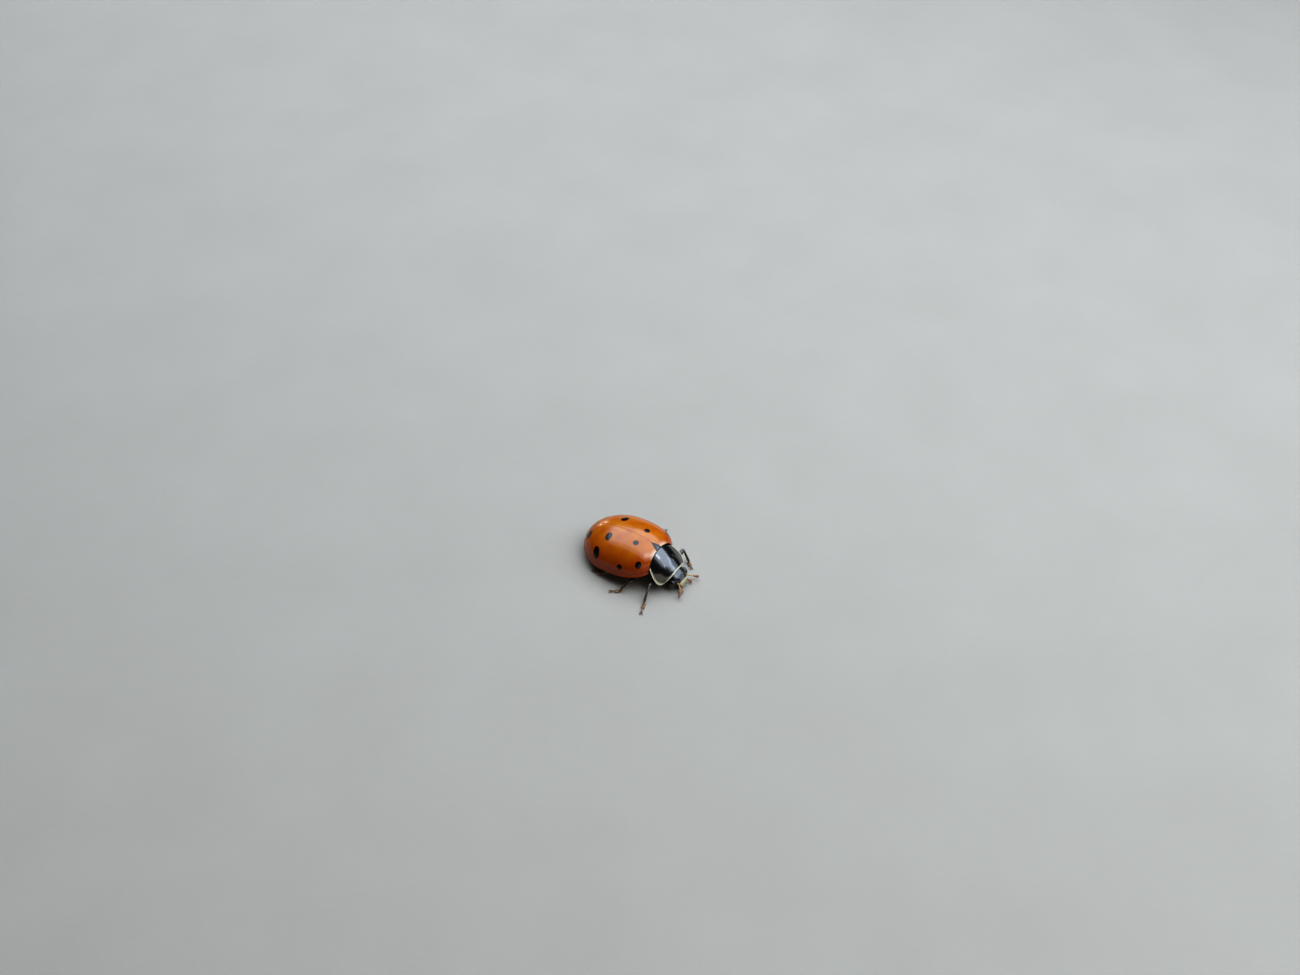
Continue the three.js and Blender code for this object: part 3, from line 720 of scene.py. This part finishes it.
def browned(parts):
    """Joins parts, each with its brownness: one number, or one for each point."""
    brown = [np.broadcast_to(b, len(part[0])) for part, b in parts]
    return joined(*[part for part, _ in parts]), {"brown": np.concatenate(brown)}


def body_part(rear, front, count):
    rings, brown = trunk_rings(rear, front, count)
    return loft(rings), np.concatenate([brown.ravel(), [brown[0].mean(), brown[-1].mean()]])


def wing_base():
    """The part of the thorax that carries the wing cases, a low dome close under their front."""
    angle = circle(56)
    x = np.cos(angle)
    rings = []
    for s in WING_BASE["rear"] + (WING_BASE["front"] - WING_BASE["rear"]) * eased(30):
        half, base = WING_BASE["width"] * outline(s, DOME_WIDTH), rim_height(s) - 0.1
        top = base + (outline(s, DOME_RISE) + 0.1 - WING_BASE["below_case"]) * arch(x, DOME_ARCH)
        rings.append(mm(half * x, s, np.where(np.sin(angle) > 0, top, base - 0.06 * arch(x, 2))))
    return loft(rings), 0.1


def coxa(name):
    hip = LEGS[name][0]
    side = math.copysign(1, hip[0])
    centre = (abs(hip[0]) * 0.72, *hip[1:])
    return egg(centre, (0.23, 0.19, 0.16), side=side, rows=20, around=28, power=2.2), 0.15


hips = [coxa(name) for name in LEGS if not name.startswith("front")]
thorax = browned([body_part(WAIST + 0.01, NECK_END, 110), wing_base(), *hips])
place("thorax_plates", thorax, UNDERSIDE, "belly", ["thorax"])
abdomen = browned([body_part(TAIL_END, WAIST - 0.01, 130)])
place("abdomen_plates", abdomen, UNDERSIDE, "belly", ["abdomen"])


def neck_block():
    """The plate under the shield, with the keel that runs between the front hips."""
    shares = np.linspace(0, 1, 40)
    centre = curve([(0, 2.17, 0.86), (0, 2.55, 0.8), (0, 3.0, 0.68)], shares)
    angle = circle(56)
    rings = []
    for t, middle in zip(shares, centre):
        half, deep = 0.94 + (0.76 - 0.94) * t, 0.47 + (0.31 - 0.47) * t
        keel = 0.05 * bump(np.cos(angle), 0.16) * (np.sin(angle) < 0) * (1 - t * 0.6)
        rings.append(mm(half * np.cos(angle), middle[1], middle[2] + deep * np.sin(angle) - keel))
    return loft(rings), 0.1


front_hips = [coxa(name) for name in LEGS if name.startswith("front")]
place("prosternum_plate", browned([neck_block(), *front_hips]), UNDERSIDE, "belly", ["prosternum"])

# ---- Head ----

HEAD_ROWS, HEAD_AROUND = 110, 128
HEAD_POWER = 2.3  # how square its cross sections are
# Relief of the head as (height, distance, width): along its length, over an eye's edge in radii
# of the eye, and round the socket of a feeler.
BROW_HOLLOW, MOUTH_GROOVE = [(-0.03, 0.68, 0.16)], [(-0.022, 0.83, 0.018)]
EYE_RING, SOCKET_PIT = [(0.014, 1.1, 0.07)], [(-0.03, 0, 0.075)]
SOCKET = (0.37, 3.36, 0.53)


def eye_room(points, side):
    """Distance from the middle of an eye as a share of its radii."""
    turned = (points - on_side(EYE["centre"], side)) @ tilt_matrix(EYE["tilt"]).T
    return np.linalg.norm(turned / np.array(EYE["radii"]), axis=-1)


def head_capsule():
    neck, nose, sideways = mm(*HEAD_NECK), mm(*HEAD_NOSE), mm(1, 0, 0)
    up = -np.cross(sideways, unit(nose - neck))
    stations = curve(HEAD_STATIONS, np.linspace(0, 1, HEAD_ROWS))
    angle = circle(HEAD_AROUND)
    x, z = np.cos(angle), np.sin(angle)
    square = (np.abs(x) ** HEAD_POWER + np.abs(z) ** HEAD_POWER) ** (-1 / HEAD_POWER)
    share, wide, deep = (stations[:, k][:, None, None] for k in range(3))
    rings = (neck + (nose - neck) * share + sideways * wide * (x * square)[None, :, None]
             + up * deep * (z * square)[None, :, None])
    normals = grid_normals(np.concatenate([rings, rings[:, :1]], 1))[:, :-1]
    normals *= np.sign(np.sum(normals[HEAD_ROWS // 2, HEAD_AROUND // 4] * up))
    top = np.clip(z, 0, 1)[None, :]
    flat = share[..., 0]
    lift = top * (bump(x, 0.45) * hills(flat, BROW_HOLLOW) + hills(flat, MOUTH_GROOVE))
    for side in SIDES.values():
        lift = lift + hills(eye_room(rings, side), EYE_RING)
        lift = lift + hills(np.linalg.norm(rings - on_side(SOCKET, side), axis=-1), SOCKET_PIT)
    rings = rings + normals * lift[..., None]
    front = soft_step(flat, 0.86, 0.9) * soft_step(top, 0.05, 0.4)
    return loft(rings), {"front": np.concatenate([front.ravel(), [0, 1]])}


place("head_capsule", head_capsule(), BLACK, "black_shell", ["head"])


FACET_DOME = 0.014  # height of a facet as a share of the eye's radius


def compound_eye(side):
    """Lenses packed over an egg: each facet is a low dome, about 0.03 mm across."""
    fine, coarse = bmesh.new(), bmesh.new()
    bmesh.ops.create_icosphere(fine, subdivisions=6, radius=1)
    bmesh.ops.create_icosphere(coarse, subdivisions=4, radius=1)
    tree = kdtree.KDTree(len(coarse.verts))
    for k, vert in enumerate(coarse.verts):
        tree.insert(vert.co, k)
    tree.balance()
    spacing = math.sqrt(4 * math.pi / len(coarse.verts))
    raw = np.array([vert.co for vert in fine.verts])
    near = np.array([tree.find(vert.co)[2] for vert in fine.verts])
    faces = [[vert.index for vert in face.verts] for face in fine.faces]
    fine.free()
    coarse.free()
    raw = raw * (1 + FACET_DOME * (1 - (near / (0.58 * spacing)) ** 2))[:, None]
    turned = raw * np.array(EYE["radii"]) @ tilt_matrix(EYE["tilt"])
    return (turned + on_side(EYE["centre"], side), faces), {}


for name, side in SIDES.items():
    place(f"eye_lens_{name}", compound_eye(side), CORNEA, "eye", [f"eye_{name}"], sharp=180)


def labrum_plate():
    """The upper lip: a wide flap with a soft notch in its front edge."""
    centre = (0, 3.615, 0.285)
    points, faces = egg(centre, (0.29, 0.125, 0.075), tilt=40, rows=40, around=64, power=2.5)
    points[:, 1] += 0.035 * bump(points[:, 0], 0.07) * (points[:, 1] < -centre[1])
    return (points, faces), {}


place("labrum_plate", labrum_plate(), IVORY, "face", ["labrum"])


# Lines of the jaw, feeler and palp, given for the left side.
MANDIBLE_PATH = [(0.24, 3.38, 0.24), (0.27, 3.52, 0.21), (0.19, 3.62, 0.18), (0.05, 3.63, 0.16)]
ANTENNA_PATH = [(0.36, 3.33, 0.53), (0.45, 3.62, 0.49), (0.65, 3.8, 0.36), (0.9, 3.93, 0.16)]
PALP_PATH = [(0.2, 3.34, 0.3), (0.3, 3.55, 0.24), (0.4, 3.71, 0.2), (0.46, 3.84, 0.13)]


def mandible_jaw(side):
    path = [on_side(spot, side) for spot in MANDIBLE_PATH]
    jaw = tube(path, [(0, 0.06), (0.3, 0.085), (0.65, 0.065), (0.9, 0.03), (1, 0.006)], 24, 40, flatness=0.75)
    return jaw, {"brown": np.clip(np.linalg.norm(jaw[0] - path[0], axis=1) / 0.42, 0.3, 1)}


def beads(path, segments, around):
    """A jointed feeler: each segment is (start, end, start radius, widest radius, end radius,
    brownness), its ends as shares of the whole path."""
    parts = []
    for start, end, first, widest, last, brown in segments:
        shares = np.linspace(start, end, 9)
        radii = [(0, first * 0.35), (0.06, first * 0.9), (0.3, (first + widest) / 2), (0.72, widest),
                 (0.93, last), (1, last * 0.35)]
        parts.append((tube(curve(path, shares), radii, around, 22), brown))
    return browned(parts)


def antenna_segments(side):
    """Eleven joints: a stout first one, a slim shaft, and a club of three."""
    ends = [0, 0.16, 0.24, 0.34, 0.42, 0.49, 0.56, 0.62, 0.68, 0.785, 0.89, 1.0]
    radii = [0.062, 0.05, 0.036, 0.034, 0.034, 0.035, 0.037, 0.04, 0.062, 0.078, 0.066]
    browns = [0.35, 0.15, 0.05, 0.05, 0.08, 0.15, 0.2, 0.3, 0.45, 0.6, 0.75]
    segments = [(start, end + 0.006, radius * 0.62, radius, radius * 0.8, brown)
                for start, end, radius, brown in zip(ends, ends[1:], radii, browns)]
    return beads([on_side(spot, side) for spot in ANTENNA_PATH], segments, 24)


def palp_segments(side):
    """Four joints, the last one broad and cut off like an axe."""
    path = [on_side(spot, side) for spot in PALP_PATH]
    stalk, marks = beads(path, [(0, 0.2, 0.045, 0.055, 0.045, 0.4), (0.2, 0.46, 0.04, 0.062, 0.05, 0.35),
                                (0.46, 0.62, 0.04, 0.058, 0.05, 0.3)], 22)
    blade = tube([curve(path, np.array(t)) for t in (0.61, 0.75, 0.9, 1.0)],
                 [(0, 0.03, 0.8), (0.3, 0.07, 0.6), (0.8, 0.13, 0.42), (0.95, 0.125, 0.4), (1, 0.09, 0.3)],
                 32, 44, side=(side, 0, 0.3))
    return browned([(stalk, marks["brown"]), (blade, 0.5)])


for name, side in SIDES.items():
    for node, detail, shaped in (("mandible", "jaw", mandible_jaw), ("antenna", "joints", antenna_segments),
                                 ("palp", "joints", palp_segments)):
        place(f"{node}_{detail}_{name}", shaped(side), AMBER, "horn", [f"{node}_{name}"])

# ---- Legs ----

# Real thickness of each stretch, inside the thicker solids: (share, radius, flatness).
THIGH = [(0, 0.07, 0.9), (0.08, 0.1, 0.85), (0.35, 0.145, 0.75), (0.65, 0.15, 0.72), (0.88, 0.115, 0.78),
         (0.97, 0.085, 0.85), (1, 0.045, 0.9)]
SHIN = [(0, 0.03, 1), (0.04, 0.058, 0.95), (0.15, 0.06, 0.9), (0.45, 0.07, 0.8), (0.8, 0.082, 0.8),
        (0.95, 0.088, 0.85), (1, 0.06, 0.9)]
FLOOR_END = 0.15  # height of the shin's end over the foot


def leg_line(name):
    """Hip, knee, ankle and claw tip of a leg, and the level direction in which its foot points."""
    hip, knee, ankle, toe = (mm(*p) for p in LEGS[name])
    onward = unit((toe - ankle) * LEVEL)
    return hip, knee, ankle, toe, onward


def thigh(name):
    hip, knee, ankle, _, _ = leg_line(name)
    middle = (hip + knee) / 2 + UP * 0.03
    along = unit(knee - hip)
    wide = np.cross(np.cross(along, unit(ankle - knee)), along)
    limb = tube([hip, middle, knee + along * 0.03], THIGH, 40, 54, side=wide)
    return limb, {"brown": 0.7 * bump(np.linalg.norm(limb[0] - knee, axis=1), 0.09)}


def shin_end(name):
    """Where the shin stops, over the foot."""
    _, _, ankle, _, _ = leg_line(name)
    return ankle * LEVEL + UP * FLOOR_END


def shin(name):
    _, knee, _, _, onward = leg_line(name)
    end = shin_end(name)
    along = unit(end - knee)
    bow = unit(np.cross(along, np.cross(onward + UP * 0.3, along)))
    middle = (knee + end) / 2 + bow * 0.025
    parts = [(tube([knee - along * 0.02, middle, end], SHIN, 32, 50, side=bow), 0.0)]
    for turn in (-1, 1):  # the pair of spurs at the end of the shin
        base = end - along * 0.03 + np.cross(along, bow) * 0.05 * turn
        tip = base + along * 0.1 + bow * 0.03
        spur = tube([base, (base + tip) / 2, tip], [(0, 0.014), (0.6, 0.01), (1, 0.002)], 8, 8)
        parts.append((spur, 0.8))
    limb, marks = browned(parts)
    share = np.clip((limb[0] - knee) @ along / np.linalg.norm(end - knee), 0, 1)
    return limb, {"brown": np.maximum(marks["brown"], 0.2 + 0.5 * share ** 2 + 0.4 * bump(share, 0.08))}


def lobe(centre, onward, aside, length, width, height, notch):
    """One heart-shaped joint of the foot, with its sole flat on the floor."""
    angle = circle(40)
    rings = []
    for t in np.linspace(0, 1, 14):
        size = math.sin(math.pi * (0.08 + 0.84 * t)) ** 0.55
        up = height * (t if t > 0.5 else t * 0.9)
        out = np.cos(angle) * width * size * (1 + 0.25 * np.sin(angle))
        fore = np.sin(angle) * length * size - notch * bump(np.cos(angle), 0.35) * (np.sin(angle) > 0)
        rings.append(centre + aside * out[:, None] + onward * fore[:, None] + UP * up)
    return loft(rings)


def foot(name):
    """Two heart-shaped joints with hairy soles and a slim claw joint between their lobes."""
    _, _, _, toe, onward = leg_line(name)
    aside = np.cross(onward, UP)
    start = shin_end(name)
    run = np.linalg.norm((toe + onward * 0.02 - start) * LEVEL)

    def at(share, up):
        return start * LEVEL + onward * run * share + UP * up

    return browned([
        (tube([start + UP * 0.01, at(0.08, 0.12), at(0.2, 0.09)],
              [(0, 0.04), (0.5, 0.045), (1, 0.03)], 20, 16), 0.75),
        (lobe(at(0.2, 0.0), onward, aside, 0.115, 0.085, 0.1, 0.05), 0.8),
        (lobe(at(0.44, 0.0), onward, aside, 0.12, 0.1, 0.085, 0.07), 0.85),
        (tube([at(0.42, 0.07), at(0.62, 0.105), at(0.84, 0.1), at(1.0, 0.07)],
              [(0, 0.02), (0.3, 0.027), (0.75, 0.036), (0.95, 0.042), (1, 0.025)], 20, 30), 0.8),
    ])


def claws(name):
    """The pair of hooked claws, each with a small tooth at its base."""
    _, _, _, toe, onward = leg_line(name)
    aside = np.cross(onward, UP)
    parts = []
    for turn in (-1, 1):
        base = toe * LEVEL + onward * 0.01 + aside * 0.018 * turn + UP * 0.072
        bend = base + onward * 0.085 + aside * 0.04 * turn + UP * 0.012
        tip = base + onward * 0.155 + aside * 0.05 * turn - UP * 0.07
        hook = tube([base, bend, tip], [(0, 0.02), (0.5, 0.017), (0.85, 0.009), (1, 0.002)], 14, 24)
        root = base + onward * 0.045 + aside * 0.02 * turn
        tooth = tube([root, root - UP * 0.03, root + onward * 0.02 - UP * 0.055],
                     [(0, 0.015), (0.6, 0.011), (1, 0.002)], 10, 10)
        parts += [(hook, 0.75), (tooth, 0.8)]
    return browned(parts)


for name in LEGS:
    for part, shaped, slot, node in (("thigh", thigh, "leg", "femur"), ("shin", shin, "leg", "tibia"),
                                     ("foot", foot, "foot", "tarsus")):
        place(f"{part}_{name}", shaped(name), LEG, slot, [f"{node}_{name}"])
    place(f"claws_{name}", claws(name), AMBER, "foot")

# ---- Bristles ----

UV_PATCH = 0.003  # width of each bristle's own patch on its bake map
# Where the seven points of a bristle lie on its patch: two rings of three, and the tip.
PATCH_POINTS = [(0, 0), (1, 0), (0.5, 1), (0, 0.5), (1, 0.5), (0.5, 0), (0.5, 1)]
BRISTLE_RINGS = [(-0.06, 0.0045), (0.5, 0.0035)]  # share of the length, and radius
BRISTLE_SAG = 0.12


def bristles(roots):
    """Tapered bristles as one solid. Each root is (place, direction, length in mm, u, v)."""
    points, faces = [], []
    for spot, way, length, _, _ in roots:
        way = unit(np.array(way, float))
        first = unit(np.cross(way, np.array([0.31, 0.17, 0.93])))
        second = np.cross(way, first)
        sag = -UP * BRISTLE_SAG * length
        start = len(points)
        for share, radius in BRISTLE_RINGS:
            middle = np.array(spot) + way * length * share + sag * max(0, share) ** 2
            points += [middle + (first * math.cos(a) + second * math.sin(a)) * radius for a in circle(3)]
        points.append(np.array(spot) + way * length + sag)
        for k in range(3):
            a, b = start + k, start + (k + 1) % 3
            faces += [[a, b, b + 3, a + 3], [a + 3, b + 3, start + 6]]
        faces.append([start + 2, start + 1, start])
    return (np.array(points), faces), {}


def patch_map(piece, roots):
    """Gives every bristle a small patch of the bake map at its root's own place."""
    layer = piece.data.uv_layers.new(name="OFBake")
    for loop in piece.data.loops:
        hair, k = divmod(loop.vertex_index, len(PATCH_POINTS))
        u, v = roots[hair][3:5]
        layer.data[loop.index].uv = (u + UV_PATCH * PATCH_POINTS[k][0], v + UV_PATCH * PATCH_POINTS[k][1])


def leg_roots(name, count):
    """Roots along the thigh, shin and foot, leaning towards the foot. Their bake patches lie
    in a row for each stretch, round the limb across and along it upwards."""
    hip, knee, _, toe, onward = leg_line(name)
    end = shin_end(name)
    roots = []
    for start, stop, stops, lean, row in ((hip, knee, THIGH, 0.3, 0.0), (knee, end, SHIN, 0.75, 0.34)):
        along = unit(stop - start)
        first = unit(np.cross(along, np.array([0.2, 0.1, 1.0])))
        second = np.cross(along, first)
        for _ in range(count):
            t, angle = chance.uniform(0.12 if stops is THIGH else 0.05, 0.98), chance.uniform(0, 2 * math.pi)
            table = np.array(stops)
            radius = np.interp(t, table[:, 0], table[:, 1]) * 0.8
            out = first * math.cos(angle) + second * math.sin(angle)
            spot = start + (stop - start) * t + out * radius
            way = out * (1 - lean * 0.5) + along * (0.5 + lean)
            length = chance.uniform(0.05, 0.09) * (0.8 if stops is THIGH else 1)
            roots.append((spot, way, length, 0.02 + 0.93 * angle / (2 * math.pi), row + 0.02 + 0.28 * t))
    aside = np.cross(onward, UP)
    run = np.linalg.norm((toe - end) * LEVEL)
    for _ in range(count // 2):
        t, angle = chance.uniform(0.12, 0.6), chance.uniform(-1, 1)
        spot = end * LEVEL + onward * run * t + aside * 0.08 * angle + UP * chance.uniform(0.02, 0.06)
        way = onward * 0.7 + aside * angle + UP * chance.uniform(-0.1, 0.4)
        roots.append((spot, way, chance.uniform(0.04, 0.07), 0.02 + 0.46 * (angle + 1), 0.68 + 0.28 * t))
    return roots


BRISTLES_PER_STRETCH = 150

for name in LEGS:
    roots = leg_roots(name, BRISTLES_PER_STRETCH)
    patch_map(place(f"bristles_{name}", bristles(roots), BRISTLE, "leg"), roots)

# ---- Floor, light and camera ----


FLOOR_RADIUS = 1.5
ROOM_COLOUR, ROOM_LIGHT = "#8d8f94", 0.1


def studio():
    work = bmesh.new()
    bmesh.ops.create_circle(work, cap_ends=True, segments=96, radius=FLOOR_RADIUS)
    mesh = bpy.data.meshes.new("paper_floor")
    work.to_mesh(mesh)
    work.free()
    mesh.materials.append(studio_paper())
    floor = bpy.data.objects.new("paper_floor", mesh)
    bpy.context.scene.collection.objects.link(floor)
    world = bpy.data.worlds.new("studio_room")
    bpy.context.scene.world = world
    world.use_nodes = True
    room = world.node_tree.nodes["Background"].inputs
    room["Color"].default_value, room["Strength"].default_value = linear(ROOM_COLOUR), ROOM_LIGHT
    view = bpy.context.scene.view_settings
    view.view_transform, view.look = "Standard", "High Contrast"


def softbox(name, direction, distance, size, radiance, colour, slide=(0, 0)):
    """A softbox that faces the animal. Its size and its slide in its own plane are given across
    the animal and towards the tail; for a low lamp ahead or behind, up and sideways."""
    lamp = bpy.data.lights.new(name, "AREA")
    lamp.shape = "RECTANGLE"
    lamp.size, lamp.size_y = size
    lamp.energy = radiance * math.pi * size[0] * size[1]
    lamp.color = linear(colour)[:3]
    holder = bpy.data.objects.new(name, lamp)
    way = Vector(direction).normalized()
    aside = Vector((0, 1, 0)).cross(way).normalized()
    tailward = way.cross(aside)
    middle = ANCHOR + Vector((0, 0, MM))
    holder.location = middle + way * distance + aside * slide[0] + tailward * slide[1]
    holder.rotation_euler = Matrix((aside, tailward, way)).transposed().to_euler()
    bpy.context.scene.collection.objects.link(holder)


studio()
# A long softbox over the far side, from the tail round to the head, with a wider and dimmer
# one behind it; then one beyond the head, a small window, a strip ahead and one past the tail.
softbox("sky_softbox", (0.45, 0.0, 0.89), 0.11, (0.11, 0.292), 2.1, "#dcecff", (0.0, -0.009))
softbox("sky_softbox_halo", (0.45, 0.0, 0.89), 0.12, (0.156, 0.335), 1.5, "#e4efff", (-0.02, -0.0175))
softbox("far_front_softbox", (0.57, -0.74, 0.36), 0.15, (0.06, 0.07), 1.5, "#dcecff")
softbox("window_softbox", (0.09, -0.42, 0.9), 0.13, (0.023, 0.041), 4.0, "#ffffff")
softbox("front_softbox", (-0.45, -0.88, 0.23), 0.2, (0.085, 0.3), 0.8, "#fff4e8")
softbox("tail_softbox", (0.555, 0.82, 0.07), 0.25, (0.022, 0.045), 7.0, "#fff1e0")


# The camera's turn round the animal, its height over the floor and its roll in degrees, and its
# distance and the height it aims at in millimetres.
AZIMUTH, ELEVATION, ROLL = (math.radians(angle) for angle in (-57.2, 47.9, 2.4))
DISTANCE, AIM_HEIGHT = 83.33, 0.62
SENSOR, LENS = 36, 44.2
SHIFT_ACROSS, SHIFT_UP = 0.0183, 0.0464


def camera():
    back = Vector((math.sin(AZIMUTH) * math.cos(ELEVATION), -math.cos(AZIMUTH) * math.cos(ELEVATION),
                   math.sin(ELEVATION)))
    level = Vector((0, 0, 1)).cross(back).normalized()
    upright = back.cross(level)
    right = level * math.cos(ROLL) + upright * math.sin(ROLL)
    up = upright * math.cos(ROLL) - level * math.sin(ROLL)
    made = bpy.data.cameras.new("camera")
    made.sensor_width, made.lens = SENSOR, LENS
    made.shift_x, made.shift_y = SHIFT_ACROSS, SHIFT_UP
    made.clip_start, made.clip_end = 0.002, 10
    holder = bpy.data.objects.new("camera", made)
    holder.matrix_world = Matrix((right, up, back)).transposed().to_4x4()
    holder.location = ANCHOR + Vector((0, 0, AIM_HEIGHT * MM)) + back * DISTANCE * MM
    bpy.context.scene.collection.objects.link(holder)
    bpy.context.scene.camera = holder


camera()
